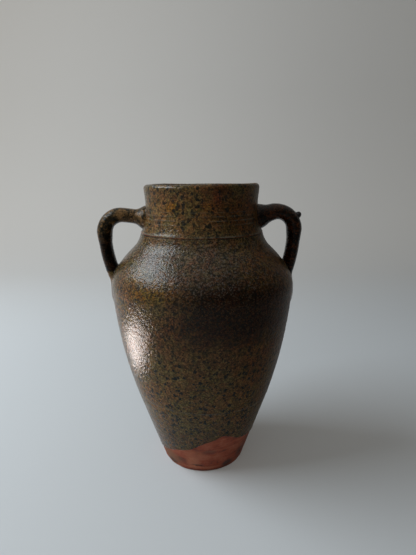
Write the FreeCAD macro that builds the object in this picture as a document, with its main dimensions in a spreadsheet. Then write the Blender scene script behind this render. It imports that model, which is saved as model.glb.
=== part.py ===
"""Two-handled stoneware jar, thrown in sections, luted with slip, with pulled handles and glaze coats.

The axis is Z, the foot stands on Z = 0, the handles lie in the XZ plane and the front faces -Y.
"""
import FreeCAD, Part
import math
import os
import re
import Sketcher

# Driving sizes, in millimetres and degrees
SIZES = {
    # Coats, walls and joints
    "glaze_thickness": 0.7,
    "wall_thickness": 8,
    "neck_wall": 6.5,
    "base_thickness": 11,
    "slip_thickness": 0.8,
    "cut_overrun": 5,
    # Outside of the clay: each stretch's length up the axis, how far it goes out or in, and its curve
    "foot_radius": 45.3,
    "foot_edge": 2.5,
    "lower_length": 83,
    "lower_flare": 26.7,
    "belly_length": 112,
    "belly_flare": 20.8,
    "belly_curve": 500,
    "turn_length": 23,
    "turn_in": 6.6,
    "turn_curve": 34,
    "slope_length": 18,
    "slope_in": 15.8,
    "slope_curve": 145,
    "root_length": 15.3,
    "root_in": 8.8,
    "root_curve": 28,
    "waist_length": 20.7,
    "waist_in": 5.3,
    "waist_curve": 62,
    "throat_length": 19,
    "throat_out": 0.7,
    "throat_curve": 90,
    "lip_length": 8.3,
    "lip_out": 0.4,
    "lip_edge_share": 0.52,
    "mouth_edge_share": 0.36,
    # Inside
    "floor_inset": 15.3,
    "floor_curve": 16,
    "floor_spread": 6.7,
    "floor_rise": 12,
    "shoulder_drop": 4,
    # Lean of the lower seam, and lower edge of the outer glaze
    "seam_tilt": 2.8,
    "glaze_rise_height": 40.5,
    "glaze_rise_tilt": 28,
    "glaze_fall_height": 65,
    "glaze_fall_tilt": 31,
    # How far a handle's end runs into the wall
    "handle_inset": 4,
    # Left handle, its centreline
    "left_root_rise": 13.8,
    "left_rise": 6.7,
    "left_bend_radius": 18,
    "left_reach": 7.2,
    "left_leg_sink": 11.6,
    "left_leg_drop": 10.8,
    # Left handle, its sections
    "left_arm_width": 21,
    "left_arm_thickness": 13.6,
    "left_bend_width": 22,
    "left_bend_thickness": 14.4,
    "left_leg_width": 21,
    "left_leg_thickness": 11.6,
    # Left handle, the clay worked round its ends
    "left_neck_pad_height": 24,
    "left_neck_pad_depth": 16.5,
    "left_neck_pad_width": 32,
    "left_shoulder_pad_height": 46,
    "left_shoulder_pad_depth": 20,
    "left_shoulder_pad_width": 42,
    "left_shoulder_pad_tilt": 6,
    "left_shoulder_pad_sink": 8,
    # Right handle, its centreline
    "right_root_rise": 13.6,
    "right_rise": 16,
    "right_bend_radius": 18,
    "right_reach": 1.8,
    "right_leg_sink": 14.3,
    "right_leg_drop": 8.7,
    # Right handle, its sections
    "right_arm_width": 23,
    "right_arm_thickness": 16,
    "right_bend_width": 23,
    "right_bend_thickness": 14.6,
    "right_leg_width": 22,
    "right_leg_thickness": 12.3,
    # Right handle, the clay worked round its ends
    "right_neck_pad_height": 24.5,
    "right_neck_pad_depth": 23,
    "right_neck_pad_width": 33,
    "right_shoulder_pad_height": 46,
    "right_shoulder_pad_depth": 19,
    "right_shoulder_pad_width": 42,
    "right_shoulder_pad_tilt": 6,
    "right_shoulder_pad_sink": 7.8,
    # Drop of glaze on the right handle
    "bead_radius": 3,
    "bead_stand": 0.6,
    "bead_turn": 72,
}

# Sizes that follow from the driving ones: the outline's stations from the foot up
FOLLOWING = {
    "seam_radius": "foot_radius + lower_flare",
    "seam_height": "lower_length",
    "belly_radius": "seam_radius + belly_flare",
    "belly_height": "seam_height + belly_length",
    "turn_radius": "belly_radius - turn_in",
    "turn_height": "belly_height + turn_length",
    "slope_radius": "turn_radius - slope_in",
    "slope_height": "turn_height + slope_length",
    "joint_radius": "slope_radius - root_in",
    "joint_height": "slope_height + root_length",
    "waist_radius": "joint_radius - waist_in",
    "waist_height": "joint_height + waist_length",
    "throat_radius": "waist_radius + throat_out",
    "throat_height": "waist_height + throat_length",
    "lip_radius": "throat_radius + lip_out",
    "clay_top": "throat_height + lip_length",
    "overall_height": "clay_top + glaze_thickness",
    "lip_edge": "neck_wall * lip_edge_share",
    "mouth_edge": "neck_wall * mouth_edge_share",
    "mouth_radius": "lip_radius - neck_wall",
    "floor_radius": "foot_radius - floor_inset",
    "corner_radius": "foot_radius + floor_spread - wall_thickness",
}

# Then each handle's centreline: arm from the neck, bend over to straight down, leg that lands in the belly
for hand in ("left", "right"):
    FOLLOWING.update({
        f"{hand}_start": "waist_radius - handle_inset",
        f"{hand}_start_height": f"joint_height + {hand}_root_rise",
        f"{hand}_bend_centre": f"belly_radius + {hand}_reach - {hand}_bend_radius",
        f"{hand}_arm_end": f"{hand}_bend_centre - {hand}_bend_radius * sin({hand}_rise)",
        f"{hand}_arm_length": f"({hand}_arm_end - {hand}_start) / cos({hand}_rise)",
        f"{hand}_arm_top": f"{hand}_start_height + {hand}_arm_length * sin({hand}_rise)",
        f"{hand}_bend_height": f"{hand}_arm_top - {hand}_bend_radius * cos({hand}_rise)",
        f"{hand}_leg_in": f"{hand}_reach + {hand}_leg_sink",
        f"{hand}_leg_down": f"{hand}_bend_height - belly_height + {hand}_leg_drop",
        f"{hand}_leg_radius": f"({hand}_leg_in ^ 2 + {hand}_leg_down ^ 2) / (2 * {hand}_leg_in)",
        f"{hand}_leg_turn": f"2 * atan({hand}_leg_in / {hand}_leg_down)",
    })

OUT = 1
IN = -1

doc = FreeCAD.newDocument("TwoHandledJar")


def make_sheet():
    """Put every driving size in a cell of its own, named by an alias."""
    sheet = doc.addObject("Spreadsheet::Sheet", "Sizes")
    for row, (name, value) in enumerate(SIZES.items(), start=1):
        sheet.set(f"A{row}", name)
        sheet.set(f"B{row}", str(value))
        sheet.setAlias(f"B{row}", name)
    doc.recompute()


def make_following():
    """Hold every following size as a property that is worked out from the sheet."""
    following = doc.addObject("App::FeaturePython", "Following")
    for name, text in FOLLOWING.items():
        following.addProperty("App::PropertyFloat", name)
        following.setExpression(name, formula(text, "Following."))
    doc.recompute()


def formula(text, own=""):
    """Turn a sum written with the names above into an expression for one of the document's objects."""
    def cell(found):
        if found[0] in SIZES:
            return "Sizes." + found[0]
        if found[0] in FOLLOWING:
            return found[0] if own else "Following." + found[0]
        return found[0]
    return re.sub(r"[a-z][a-z_]+", cell, text)


def total(text):
    """Work out a plain sum such as "belly_radius - wall_thickness", for a sketch's first drawing."""
    amount = 0
    sign = 1
    for word in text.split():
        if word in ("+", "-"):
            sign = 1 if word == "+" else -1
        elif word in SIZES:
            amount += sign * SIZES[word]
        elif word != "0":
            amount += sign * getattr(doc.Following, word)
    return amount


def arc_between(start, end, radius, side):
    """Arc of a given radius that bulges to the right (OUT) or left (IN) of its way."""
    chord = end - start
    half = chord.Length / 2
    sag = radius - math.sqrt(radius ** 2 - half ** 2)
    across = FreeCAD.Vector(chord.y, -chord.x, 0).normalize()
    return Part.Arc(start, (start + end) / 2 + across * sag * side, end)


def end_at(sketch, edge, point):
    """Which end of a sketch edge, 1 or 2, lies at the point."""
    first = sketch.getPoint(edge, 1).distanceToPoint(point)
    second = sketch.getPoint(edge, 2).distanceToPoint(point)
    return 1 if first < second else 2


def bind(sketch, constraint, text):
    """Add a constraint and tie its value to the sheet."""
    number = sketch.addConstraint(constraint)
    sketch.setExpression(f"Constraints[{number}]", formula(text))


def turned_form(name, stations):
    """Solid turned about Z from a closed half outline.

    A station is its radius, its height, and the curve that leads to it: a radius and a side, or None.
    """
    body = doc.addObject("PartDesign::Body", name)
    sketch = body.newObject("Sketcher::SketchObject", name + "_outline")
    plane = [item for item in body.Origin.OriginFeatures if item.Role == "XZ_Plane"][0]
    sketch.AttachmentSupport = (plane, [""])
    sketch.MapMode = "FlatFace"
    points = [FreeCAD.Vector(total(station[0]), total(station[1]), 0) for station in stations]
    for number, (_, _, curve) in enumerate(stations):
        if curve is None:
            edge = Part.LineSegment(points[number - 1], points[number])
        else:
            edge = arc_between(points[number - 1], points[number], total(curve[0]), curve[1])
        sketch.addGeometry(edge, False)
    for number, (radius, height, curve) in enumerate(stations):
        following = (number + 1) % len(stations)
        here = end_at(sketch, number, points[number])
        there = end_at(sketch, following, points[number])
        sketch.addConstraint(Sketcher.Constraint("Coincident", number, here, following, there))
        if radius == "0":
            sketch.addConstraint(Sketcher.Constraint("PointOnObject", number, here, -2))
        else:
            bind(sketch, Sketcher.Constraint("DistanceX", -1, 1, number, here, points[number].x), radius)
        if height == "0":
            sketch.addConstraint(Sketcher.Constraint("PointOnObject", number, here, -1))
        else:
            bind(sketch, Sketcher.Constraint("DistanceY", -1, 1, number, here, points[number].y), height)
        if curve is not None:
            bind(sketch, Sketcher.Constraint("Radius", number, total(curve[0])), curve[0])
    turned = body.newObject("PartDesign::Revolution", name + "_turned")
    turned.Profile = sketch
    turned.ReferenceAxis = (sketch, ["V_Axis"])
    turned.Angle = 360
    sketch.Visibility = False
    return body


def outside_form(name, coat):
    """The pot without its hollow: in bare clay, or with a coat of glaze on it."""
    more = f" + {coat}" if coat else ""
    return turned_form(name, [
        ("0", "0", None),
        ("foot_radius - foot_edge" + more, "0", None),
        ("foot_radius" + more, "foot_edge", ("foot_edge", OUT)),
        ("seam_radius" + more, "seam_height", None),
        ("belly_radius" + more, "belly_height", ("belly_curve", OUT)),
        ("turn_radius" + more, "turn_height", ("turn_curve", OUT)),
        ("slope_radius" + more, "slope_height", ("slope_curve", OUT)),
        ("joint_radius" + more, "joint_height", ("root_curve", IN)),
        ("waist_radius" + more, "waist_height", ("waist_curve", IN)),
        ("throat_radius" + more, "throat_height", ("throat_curve", IN)),
        ("lip_radius" + more, "clay_top - lip_edge", None),
        ("lip_radius - lip_edge", "clay_top" + more, ("lip_edge" + more, OUT)),
        ("0", "clay_top" + more, None),
    ])


def hollow_form(name, coat):
    """The pot's hollow: to the bare clay, or to a coat of glaze on it."""
    more = f" + {coat}" if coat else ""
    less = f" - {coat}" if coat else ""
    return turned_form(name, [
        ("0", "base_thickness" + more, None),
        ("floor_radius", "base_thickness" + more, None),
        ("corner_radius" + less, "base_thickness + floor_rise" + more, ("floor_curve", OUT)),
        ("seam_radius - wall_thickness" + less, "seam_height", None),
        ("belly_radius - wall_thickness" + less, "belly_height", ("belly_curve", OUT)),
        ("turn_radius - wall_thickness" + less, "turn_height - shoulder_drop", ("turn_curve", OUT)),
        ("slope_radius - wall_thickness" + less, "slope_height - shoulder_drop", ("slope_curve", OUT)),
        ("joint_radius - neck_wall" + less, "joint_height - shoulder_drop", ("root_curve", IN)),
        ("waist_radius - neck_wall" + less, "waist_height", ("waist_curve", IN)),
        ("mouth_radius" + less, "clay_top - mouth_edge", ("throat_curve", IN)),
        ("mouth_radius + mouth_edge", "clay_top" + more, ("mouth_edge" + more, IN)),
        ("mouth_radius + mouth_edge", "overall_height + cut_overrun", None),
        ("0", "overall_height + cut_overrun", None),
    ])


def disc(name, radius, depth, height, tilt, below):
    """Round slab about Z that leans by a tilt in the XZ plane, with one face on the axis at a height.

    The slab lies above that face, or below it.
    """
    slab = doc.addObject("Part::Cylinder", name)
    slab.setExpression("Radius", formula(radius))
    slab.setExpression("Height", formula(depth))
    drop = depth if below else "0"
    place = f"vector(-({drop}) * sin({tilt}); 0; {height} - ({drop}) * cos({tilt}))"
    slab.setExpression("Placement", formula(f"placement({place}; rotation(vector(0; 1; 0); {tilt}))"))
    return slab


def joined(name, parts):
    """Several overlapping forms as one."""
    fuse = doc.addObject("Part::MultiFuse", name)
    fuse.Shapes = parts
    return fuse


def cut(name, base, tool):
    """One form less another."""
    result = doc.addObject("Part::Cut", name)
    result.Base = base
    result.Tool = tool
    return result


def shared(name, base, tool):
    """What two forms have in common."""
    result = doc.addObject("Part::Common", name)
    result.Base = base
    result.Tool = tool
    return result


def centreline(side, stretch, share):
    """Reach from the axis, height and heading of a place on a handle's centreline.

    The arm is straight and the bend and the leg are arcs, each tangent to the one before.
    """
    if stretch == "arm":
        run = f"{share} * {side}_arm_length"
        heading = f"{side}_rise"
        return f"{side}_start + {run} * cos({heading})", f"{side}_start_height + {run} * sin({heading})", heading
    if stretch == "bend":
        heading = f"({side}_rise - {share} * ({side}_rise + 90))"
        around = f"{side}_bend_radius"
        centre = f"{side}_bend_centre"
    else:
        heading = f"(-90 - {share} * {side}_leg_turn)"
        around = f"{side}_leg_radius"
        centre = f"{side}_bend_centre + {side}_bend_radius - {side}_leg_radius"
    return f"{centre} - {around} * sin({heading})", f"{side}_bend_height + {around} * cos({heading})", heading


def oval(name, side, place, width, thickness):
    """Oval section square to a handle's centreline, its width along Y."""
    reach, height, heading = place
    sign = "-1" if side == "left" else "1"
    section = doc.addObject("Part::Ellipse", name)
    section.setExpression("MajorRadius", formula(width))
    section.setExpression("MinorRadius", formula(thickness))
    turn = f"rotation(90; 0; 90 - {sign} * ({heading}))"
    section.setExpression("Placement", formula(f"placement(vector({sign} * ({reach}); 0; {height}); {turn})"))
    section.Visibility = False
    return section


def skinned(name, sections):
    """Smooth solid through a row of sections."""
    loft = doc.addObject("Part::Loft", name)
    loft.Sections = sections
    loft.Solid = True
    loft.Ruled = False
    return loft


# Into how many equal steps the sections divide each stretch of a handle
STRAP_STEPS = {"arm": 3, "bend": 4, "leg": 6}


def strap_form(side, name, coat):
    """The pulled strap of a handle, its ends run into the wall that it is joined to."""
    more = f" + {coat}" if coat else ""
    stations = [("arm", 0)]
    for stretch, steps in STRAP_STEPS.items():
        stations += [(stretch, (step + 1) / steps) for step in range(steps)]
    sections = []
    for number, (stretch, share) in enumerate(stations):
        width = f"{side}_{stretch}_width / 2{more}"
        thickness = f"{side}_{stretch}_thickness / 2{more}"
        place = centreline(side, stretch, share)
        sections.append(oval(f"{name}_section_{number}", side, place, width, thickness))
    return skinned(name, sections)


def pad_form(side, name, end, place, tilt, coat):
    """Rounded clay worked on round one end of a handle, flattened against the wall and tilted with it."""
    more = f" + {coat}" if coat else ""
    sign = "-1" if side == "left" else "1"
    reach, height, _ = place
    pad = doc.addObject("Part::Ellipsoid", name)
    for radius, size in (("Radius1", "height"), ("Radius2", "depth"), ("Radius3", "width")):
        pad.setExpression(radius, formula(f"{side}_{end}_pad_{size} / 2{more}"))
    turn = f"rotation(vector(0; 1; 0); -{sign} * {tilt})"
    pad.setExpression("Placement", formula(f"placement(vector({sign} * ({reach}); 0; {height}); {turn})"))
    return pad


def handle_pads(side, name, coat):
    """The clay worked onto the neck round a handle's arm, and down the shoulder from its leg."""
    neck_place = centreline(side, "arm", f"(handle_inset / {side}_arm_length)")
    shoulder_place = (f"belly_radius - {side}_shoulder_pad_sink", "belly_height", None)
    return [
        pad_form(side, f"{name}_neck_pad", "neck", neck_place, f"{side}_rise", coat),
        pad_form(side, f"{name}_shoulder_pad", "shoulder", shoulder_place, f"{side}_shoulder_pad_tilt", coat),
    ]


def make_clay(outside):
    """The thrown sections and the slip between them."""
    shell = cut("clay_shell", outside, hollow_form("clay_hollow", ""))
    wide = "2 * belly_radius"
    low = disc("below_seam", wide, "2 * seam_height", "seam_height", "seam_tilt", True)
    seam = disc("seam_slab", wide, "slip_thickness", "seam_height", "seam_tilt", False)
    joint = disc("joint_slab", wide, "slip_thickness", "joint_height", "0", False)
    high = disc("above_joint", wide, "overall_height", "joint_height + slip_thickness", "0", False)
    return [
        shared("base_section", shell, low),
        shared("base_joint_slip", shell, seam),
        cut("body_section", shell, joined("all_but_body", [low, seam, joint, high])),
        shared("collar_joint_slip", shell, joint),
        shared("neck_collar", shell, high),
    ]


def make_handle(side, outside):
    """One handle's strap, pads and glaze; also returns its whole form with the glaze on."""
    strap = strap_form(side, f"{side}_strap", "")
    neck_pad, shoulder_pad = handle_pads(side, f"{side}_clay", "")
    coated_strap = strap_form(side, f"{side}_coated_strap", "glaze_thickness")
    coated = joined(f"{side}_coated", [coated_strap] + handle_pads(side, f"{side}_coated", "glaze_thickness"))
    backing = joined(f"{side}_backing", [strap, outside])
    bare = joined(f"{side}_bare", [strap, neck_pad, shoulder_pad, outside])
    nodes = [
        cut(f"{side}_handle", strap, outside),
        cut(f"{side}_handle_neck_pad", neck_pad, backing),
        cut(f"{side}_handle_shoulder_pad", shoulder_pad, backing),
        cut(f"{side}_handle_glaze", coated, bare),
    ]
    return nodes, coated


def make_bead(coated):
    """Drop of glaze that froze on the outer side of the right handle's bend."""
    drop = doc.addObject("Part::Sphere", "drop")
    drop.setExpression("Radius", formula("bead_radius"))
    reach, height, heading = centreline("right", "bend", "(bead_turn / (right_rise + 90))")
    stand = "(right_bend_thickness / 2 + glaze_thickness + bead_stand)"
    place = f"vector({reach} - {stand} * sin({heading}); 0; {height} + {stand} * cos({heading}))"
    drop.setExpression("Placement", formula(f"placement({place}; rotation(vector(0; 0; 1); 0))"))
    return cut("glaze_bead", drop, coated)


def make_glaze(outside, left_coated, right_coated):
    """The coats on the outside and the inside.

    The outer one ends above the foot, along a line that rises to the right and then falls again.
    """
    coated_hollow = hollow_form("coated_hollow", "glaze_thickness")
    wide = "2 * belly_radius"
    rise = disc("below_rise", wide, "2 * seam_height", "glaze_rise_height", "-glaze_rise_tilt", True)
    fall = disc("below_fall", wide, "2 * seam_height", "glaze_fall_height", "glaze_fall_tilt", True)
    uncoated = joined("uncoated", [outside, coated_hollow, shared("bare_foot", rise, fall)])
    coat = cut("coat_all_round", outside_form("coated_outside", "glaze_thickness"), uncoated)
    inner = cut("inner_coat_all", hollow_form("clay_hollow_again", ""), coated_hollow)
    return [
        cut("outer_glaze", coat, joined("both_handles_coated", [left_coated, right_coated])),
        shared("inner_glaze", inner, outside),
    ]


def check_all():
    """Stop if any object of the document failed."""
    for item in doc.Objects:
        if "Invalid" in item.State or "Error" in item.State:
            raise RuntimeError(f"{item.Name} failed: {item.State}")


def write_nodes(nodes):
    """Check each sub-part's solid and write it under its own name."""
    os.makedirs("parts", exist_ok=True)
    for node in nodes:
        shape = node.Shape
        if shape.isNull() or not shape.isValid() or not shape.Solids:
            raise RuntimeError(f"{node.Label} has no valid solid")
        print(f"{node.Label}: {len(shape.Solids)} solid, {shape.Volume / 1000:.2f} cm3")
    for node in nodes:
        node.Shape.exportStep(f"parts/{node.Label}.step")


def main():
    make_sheet()
    make_following()
    outside = outside_form("clay_outside", "")
    nodes = make_clay(outside)
    left_nodes, left_coated = make_handle("left", outside)
    right_nodes, right_coated = make_handle("right", outside)
    nodes += left_nodes + right_nodes
    nodes += make_glaze(outside, left_coated, right_coated)
    nodes.append(make_bead(right_coated))
    doc.recompute()
    check_all()
    write_nodes(nodes)


main()
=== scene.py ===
"""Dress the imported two-handled stoneware jar: glaze coats, collar, foot, lining, bead of glaze and stage."""
import math
from itertools import product

import bmesh
import bpy
import numpy as np
from bpy.props import FloatProperty, FloatVectorProperty, PointerProperty
from bpy.types import Operator, Panel, PropertyGroup
from mathutils import Matrix, Vector, noise


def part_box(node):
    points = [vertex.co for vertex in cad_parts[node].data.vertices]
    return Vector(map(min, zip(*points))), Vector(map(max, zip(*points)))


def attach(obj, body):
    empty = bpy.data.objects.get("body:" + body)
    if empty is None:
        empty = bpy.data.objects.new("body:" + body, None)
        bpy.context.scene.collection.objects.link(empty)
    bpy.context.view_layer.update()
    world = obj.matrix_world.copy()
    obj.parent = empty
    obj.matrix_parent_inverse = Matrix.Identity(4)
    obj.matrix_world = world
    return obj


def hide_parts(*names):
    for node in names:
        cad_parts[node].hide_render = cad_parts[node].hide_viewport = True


bl_info = {
    "name": "Two-handled stoneware jar",
    "version": (1, 0, 0),
    "blender": (4, 5, 0),
    "location": "3D View > Sidebar > Jar",
    "description": "Dresses a packed jar with glaze, bare clay and a photographer's stage",
    "category": "Object",
}

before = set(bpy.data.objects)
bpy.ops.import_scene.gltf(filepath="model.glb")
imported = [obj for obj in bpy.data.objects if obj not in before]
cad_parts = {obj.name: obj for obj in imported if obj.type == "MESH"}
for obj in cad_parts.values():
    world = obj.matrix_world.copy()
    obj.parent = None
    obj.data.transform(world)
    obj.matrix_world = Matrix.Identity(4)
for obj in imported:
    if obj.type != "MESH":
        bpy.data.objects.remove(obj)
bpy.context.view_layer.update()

MM = 0.001

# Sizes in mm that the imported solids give
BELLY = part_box("body_section")[1].y / MM
GLAZE = (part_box("outer_glaze")[1].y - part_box("body_section")[1].y) / MM
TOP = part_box("outer_glaze")[1].z / MM
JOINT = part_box("collar_joint_slip")[0].z / MM

# Low seam between base and body: its height in mm, the clay's outer and inner radius there, and how much
# it leans, as a share of the way to the left
SEAM = 83
SEAM_OUTSIDE = 72
SEAM_INSIDE = 64
SEAM_LEAN = math.tan(math.radians(2.8))

# More heights and radii of the clay in mm: the foot's edge, the widest place, the top of the foot's fine
# rows, the collar's underside, and the lip's crest
FOOT_RADIUS = 42.8
WIDEST = 195
BASE_TOP = 76
COLLAR_UNDER = (55.6, 62)
CREST = 54

# How far down inside the mouth the outer glaze runs, in mm
WRAP = 6

# Outline of the bare clay's outside in mm: radius, height, and the curve that leads there.
# A curve with a plus swells out and one with a minus hollows in.
OUTSIDE = (
    (FOOT_RADIUS, 0, 0), (45.3, 2.5, 2.5), (SEAM_OUTSIDE, SEAM, 0), (BELLY, WIDEST, 500), (86.2, 218, 34),
    (70.4, 236, 145), (61.6, JOINT, -28), (56.3, 272, -62), (57, 291, -90), (57.4, 295.9, 0),
)
LIP = ((CREST, 299.3, 3.4), (53.2, 299.3, 0))
MOUTH = ((50.9, 297, 2.3), (49.8, 272, 90))
GLAZED_LIP = ((CREST, TOP, 4.1), (53.2, TOP, 0), (50.2, 297, 3), (50, TOP - WRAP - 3, 0))

# Outline of the bare clay's hollow in mm, from the floor's middle up
HOLLOW = (
    (0, 11, 0), (30, 11, 0), (44, 23, 16), (SEAM_INSIDE, SEAM, 0), (84.8, WIDEST, 500), (78.2, 214, 34),
    (62.4, 232, 145), (55.1, 247.3, -28), (49.8, 272, -62), (50.9, 297, -90),
)

# Lower edge of the outer glaze: azimuth in degrees, 0 at the front and growing to the right, and height in mm
GLAZE_LINE = (
    (-52, 19.4), (-31, 27.7), (-22, 30.3), (-14, 33), (-7, 37.7), (-1, 42), (5, 44.5), (11, 47), (15, 50),
    (20, 51.4), (24, 50.6), (31, 45.7), (38, 41.2), (51, 37.9), (75, 34), (100, 31), (125, 37), (150, 47),
    (163, 50), (175, 43), (195, 34), (215, 27), (240, 19), (270, 14.5), (290, 15.5),
)

# Finger lines round the neck: height in mm and how far they stand out, and their half width
NECK_LINES = ((271, 0.16), (267, 0.2), (263, 0.16), (258, 0.1), (280, 0.08))
NECK_LINE_HALF = 0.8

# Ridges inside the jar, from one to the next and how far they stand out, in mm
RIDGE_PITCH = 6.5
RIDGE = 0.16

# Small knocks in the glaze: azimuth, height, radius and depth in mm
KNOCKS = ((-69.5, 176, 2.2, 0.4), (-40, 70, 2.6, 0.35), (-14, 123.5, 4, 0.15), (118, 150, 2.4, 0.35),
          (201, 226, 2, 0.3), (160, 96, 3, 0.3))

# Dents and chipped places in the bare foot: azimuth, height, radius and depth in mm
FOOT_DENTS = (
    (-13, 9, 2.2, 0.7), (-7, 8.5, 1.8, 0.6), (-2, 9.5, 1.6, 0.5), (33, 5, 4, 0.8), (41, 9, 3, 0.5),
    (55, 14, 3.5, 0.6), (62, 6, 3, 0.8), (-38, 4, 2.5, 0.5), (98, 7, 4, 0.6), (140, 12, 5, 0.5),
    (176, 5, 3, 0.8), (214, 9, 4, 0.5), (255, 3, 3, 0.7), (299, 6, 2.5, 0.5),
)

# Smooth, pale places and yellow-brown ones on the bare foot, given like the stains below
WIPED = ((-13, 13, 9, 11, 0.75), (-9, 25, 16, 9, 0.5), (0, 6.2, 34, 1.5, 0.6))
ASHEN = ((-46, 12, 18, 15, 0.8), (150, 20, 20, 12, 0.7))

# Dark stains on the bare foot: azimuth, height, width and height in mm, and how strong
STAINS = (
    (33, 7, 9, 7, 0.9), (-27, 15, 7, 5, 0.25), (-8, 9.5, 7, 1.6, 0.9), (7, 30, 10, 5, 0.55),
    (52, 16, 8, 9, 0.7), (64, 20, 22, 26, 0.35), (-45, 6, 9, 4, 0.6), (12, 2, 30, 1.6, 0.6),
    (120, 12, 14, 8, 0.7), (200, 9, 16, 5, 0.7), (285, 5, 12, 4, 0.6),
)

# How much darker or paler the glaze's grains are, from the fewest dark ones to the fewest pale ones
PEPPER = (
    (0.18, (0.3, 0.32, 0.29)), (0.36, (0.66, 0.66, 0.62)), (0.5, (0.97, 0.96, 0.95)),
    (0.66, (1.4, 1.38, 1.4)), (0.82, (2.1, 2.1, 2.2)),
)

# Dark specks: width of their cells in mm, share of cells that hold one, and their least and most radius in mm
SPECKS = ((3.1, 0.55, 0.6, 1.25), (4.6, 0.8, 1.0, 2.0), (9, 0.6, 1.6, 2.6))

# Lines round the jar: pale ones where the glaze runs thin over a ridge, partly painted highlight along it, and
# dark ones painted shade under the joint and beside a finger line: height and half width in mm, how strong,
# whether pale, and how much they lean
LINES = (
    ("finger line", 274.5, 0.6, 0.25, True, 0), ("finger line", 271, 0.6, 0.4, True, 0),
    ("finger line's shade", 269.6, 0.6, 0.4, False, 0), ("finger line", 267, 0.7, 0.5, True, 0),
    ("finger line", 263, 0.6, 0.35, True, 0), ("joint", JOINT + 1.6, 0.75, 0.75, True, 0),
    ("joint's shade", JOINT + 0.1, 0.9, 0.85, False, 0), ("seam", 85.5, 0.7, 0.35, True, SEAM_LEAN),
)

# Tints over the jar's glaze, mostly its own blotches, among them painted sheen and a painted highlight on the
# shoulder and collar and painted shade mixed into the browns of the right side: azimuth, height, width and
# height in mm, how strong, and what the glaze's colour is multiplied by
TINTS = (
    ("purple cloud", 17, 192, 68, 44, 0.97, (0.2, 0.12, 0.11)),
    ("purple cloud, right", 50, 184, 42, 38, 0.85, (0.42, 0.3, 0.28)),
    ("ochre by the shoulder", -33, 209, 34, 18, 0.85, (1.22, 1.06, 0.5)),
    ("ochre, left of the belly", -52, 170, 40, 46, 0.55, (1.3, 1.05, 0.82)),
    ("rust, middle of the belly", -4, 170, 60, 26, 0.8, (0.95, 0.74, 0.62)),
    ("collar's left and front", -22, 276, 50, 26, 0.9, (1.45, 1.45, 1.3)),
    ("ochre on the collar", -27, 279, 10, 6, 0.9, (1.35, 1.12, 0.35)),
    ("ochre on the collar's front", 8, 280, 9, 6, 0.7, (1.3, 1.0, 0.5)),
    ("rust on the collar's front", -4, 290, 22, 14, 0.7, (1.12, 0.88, 0.8)),
    # Painted highlight: a pale bluish patch on the collar's flare above the ring, standing in for the window's
    # reflection there.
    ("painted highlight by the ring", -28, 254, 15, 5, 0.7, (1.6, 1.75, 2.1)),
    ("red on the collar", 18, 293, 13, 12, 0.85, (1.0, 0.56, 0.48)),
    ("olive, low", -14, 96, 74, 56, 0.75, (1.2, 1.27, 1.13)),
    # Browner, darker glaze on the right side: partly the glaze's own brown, partly painted shade on the side
    # turned away from the window.
    ("brown and painted shade on the right", 36, 146, 40, 34, 0.75, (0.88, 0.64, 0.45)),
    ("brown and painted shade, far right", 68, 160, 36, 66, 0.8, (1.0, 0.72, 0.5)),
    ("brown and painted shade, low right", 34, 96, 40, 40, 0.6, (1.1, 0.9, 0.65)),
    ("brown and painted shade right of the collar", 42, 272, 40, 26, 0.8, (0.9, 0.66, 0.45)),
    ("brown and painted shade right of the shoulder", 48, 226, 44, 18, 0.6, (0.98, 0.84, 0.6)),
    # The shoulder's grey is partly the glaze's own and partly painted sheen from the sky and window; the pale
    # bluish patch on its left is painted sheen from the window.
    ("grey shoulder and painted sheen", -8, 230, 74, 24, 0.85, (0.82, 0.88, 1.45)),
    ("painted sheen, left of the shoulder", -44, 230, 36, 20, 0.8, (1.25, 1.45, 1.75)),
    ("pale spot", -14, 123.5, 5, 6, 0.8, (1.5, 1.55, 1.8)),
    ("cloud at the back", 170, 205, 60, 40, 0.7, (0.5, 0.42, 0.4)),
    ("ochre at the back", 230, 170, 44, 40, 0.6, (1.3, 1.05, 0.6)),
    ("olive at the back", 140, 110, 60, 40, 0.6, (0.8, 0.95, 0.85)),
    ("ochre on the collar's back", 200, 276, 26, 12, 0.8, (1.35, 1.05, 0.45)),
)

# Glaze of the handles' straps: what it is multiplied by, on the left only along the arm, where the lighter
# olive is partly painted light on the arm that faces the window and the light from above, and the heights in
# mm over which it gives way to the jar's own glaze, from the upper one down
STRAP_TINTS_AND_LIGHT = {"left": (4.7, 5.6, 4.7), "right": (1.6, 1.1, 0.75)}
STRAP_ENDS = {"left": (218.5, 214.5), "right": (218.5, 209.5)}

# Thin glaze and painted sheen at the left handle's lower end: azimuth, height, width and height in mm, and how
# strong
BARED_END_AND_SHEEN = (-90, 203, 15, 12, 0.8)

# How far patches' edges are torn, as a share of their size
TEAR = 0.5

# Glossiness of the handles' glaze, and of the jar's, which falls from left to right between two places in mm,
# the colour of its reflections, and the height of its fine relief in mm
HANDLE_SHINE = 0.09
JAR_SHINE = (0.18, 0.07)
SHINE_FALL = (-20, 60)
GLOSS_TINT = (1.0, 0.98, 0.95, 1.0)
RELIEF = 0.48

# Handles, in mm and degrees: where the arm's middle leaves the neck and how it rises, how far out the bend
# reaches, how far in and down the leg goes, widths and thicknesses of arm, bend and leg, height, depth and
# width of the pads, and how far the shoulder pad's middle is sunk
HANDLE_SIZES = {
    "left": {
        "root": 265.1, "rise": 6.7, "reach": 100, "leg_in": 18.8, "leg_down": 66.3,
        "widths": (21, 22, 21), "thicknesses": (13.6, 14.4, 11.6),
        "neck_pad": (24, 16.5, 32), "shoulder_pad": (46, 20, 42), "sink": 8,
    },
    "right": {
        "root": 264.9, "rise": 16, "reach": 94.6, "leg_in": 16.1, "leg_down": 66.8,
        "widths": (23, 23, 22), "thicknesses": (16, 14.6, 12.3),
        "neck_pad": (24.5, 23, 33), "shoulder_pad": (46, 19, 42), "sink": 7.8,
    },
}

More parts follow.
